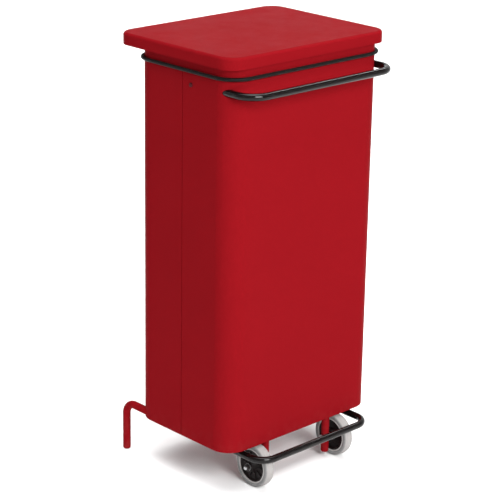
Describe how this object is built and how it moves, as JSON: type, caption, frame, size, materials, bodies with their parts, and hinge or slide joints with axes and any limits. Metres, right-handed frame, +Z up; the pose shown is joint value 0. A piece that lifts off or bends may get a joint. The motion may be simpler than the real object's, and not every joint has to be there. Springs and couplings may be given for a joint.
{
  "type": "pedal waste bin",
  "caption": "Tall red sheet-steel waste bin on two wheels and two bent tube legs, with a pedal-lifted lid, a hinged front shell and a push handle.",
  "frame": {"origin": "on the floor, at the centre of the body's plan", "axes": "+Z up, -Y towards the front with the handle, pedal and wheels, +X to the right seen from the front"},
  "size_m": [0.47, 0.42, 0.985],
  "materials": {
    "red_paint": "gloss powder coat",
    "black_enamel": "gloss",
    "band_rubber": "satin",
    "buffer_rubber": "matte",
    "tyre_rubber": "matte",
    "rim_plastic": "satin",
    "bush_plastic": "satin",
    "zinc_steel": "zinc plated",
    "dark_screw": "satin",
    "black_nut": "black zinc",
    "magnet": "satin"
  },
  "bodies": {
    "chassis": {"rear_shell": "red_paint", "collar": "red_paint", "collar_straps": "red_paint", "sack_band": "band_rubber", "base_tray": "red_paint", "rear_cross_tube": "red_paint", "front_cross_tube": "red_paint", "tube_end_caps": "red_paint", "frame_rail_left": "red_paint", "frame_rail_right": "red_paint", "rear_leg_left": "red_paint", "rear_leg_right": "red_paint", "wheel_leg_left": "red_paint", "wheel_leg_right": "red_paint", "wheel_leg_plugs": "red_paint", "leg_feet": "red_paint", "axle_bolts": "zinc_steel", "axle_nuts": "black_nut", "axle_washers": "zinc_steel", "door_leaves_rear": "red_paint", "door_hinge_pins": "zinc_steel", "rear_hinge_rivets": "zinc_steel", "door_magnets": "magnet", "lid_hinge_brackets": "red_paint", "rod_guides": "zinc_steel", "back_rivets": "zinc_steel", "pedal_brackets": "red_paint"},
    "door": {"front_shell": "red_paint", "handle": "black_enamel", "handle_screws": "dark_screw", "handle_spacers": "zinc_steel", "door_leaves_front": "red_paint", "door_rivets": "zinc_steel"},
    "lid": {"lid_shell": "red_paint", "lid_hinge_rail": "red_paint", "lid_clevises": "red_paint", "lid_hinge_pins": "zinc_steel", "lid_lever": "red_paint", "lid_lever_pin": "zinc_steel", "lid_buffers": "buffer_rubber"},
    "lift_rod": {"lift_rod": "zinc_steel", "lift_rod_eye": "zinc_steel", "lift_rod_clevis": "zinc_steel", "lift_rod_pin": "zinc_steel"},
    "pedal": {"pedal_bar": "black_enamel", "pedal_pivot_rod": "zinc_steel", "pedal_lever": "zinc_steel"},
    "wheel_left": {"tyre_left": "tyre_rubber", "rim_left": "rim_plastic", "wheel_bush_left": "bush_plastic"},
    "wheel_right": {"tyre_right": "tyre_rubber", "rim_right": "rim_plastic", "wheel_bush_right": "bush_plastic"}
  },
  "joints": [
    {"name": "lid_hinge", "type": "hinge", "parent": "chassis", "child": "lid", "pos_m": [0, 0.178, 0.957], "axis": [-1, 0, 0], "range_deg": [0, 75]},
    {"name": "pedal_pivot", "type": "hinge", "parent": "chassis", "child": "pedal", "pos_m": [0, 0.06, 0.09], "axis": [1, 0, 0], "range_deg": [0, 9.16]},
    {"name": "rod_slide", "type": "slide", "parent": "chassis", "child": "lift_rod", "axis": [0, 0, 1], "range_m": [0, 0.01706]},
    {"name": "door_hinge", "type": "hinge", "parent": "chassis", "child": "door", "pos_m": [0.229, 0, 0.52], "axis": [0, 0, 1], "range_deg": [0, 110]},
    {"name": "wheel_left_spin", "type": "hinge", "parent": "chassis", "child": "wheel_left", "pos_m": [-0.125, -0.136, 0.05], "axis": [1, 0, 0], "continuous": true},
    {"name": "wheel_right_spin", "type": "hinge", "parent": "chassis", "child": "wheel_right", "pos_m": [0.125, -0.136, 0.05], "axis": [1, 0, 0], "continuous": true}
  ],
  "couplings": [
    {"joint": "pedal_pivot", "follows": "lid_hinge", "ratio": 0.122},
    {"joint": "rod_slide", "follows": "lid_hinge", "m_per_rad": 0.01302}
  ]
}
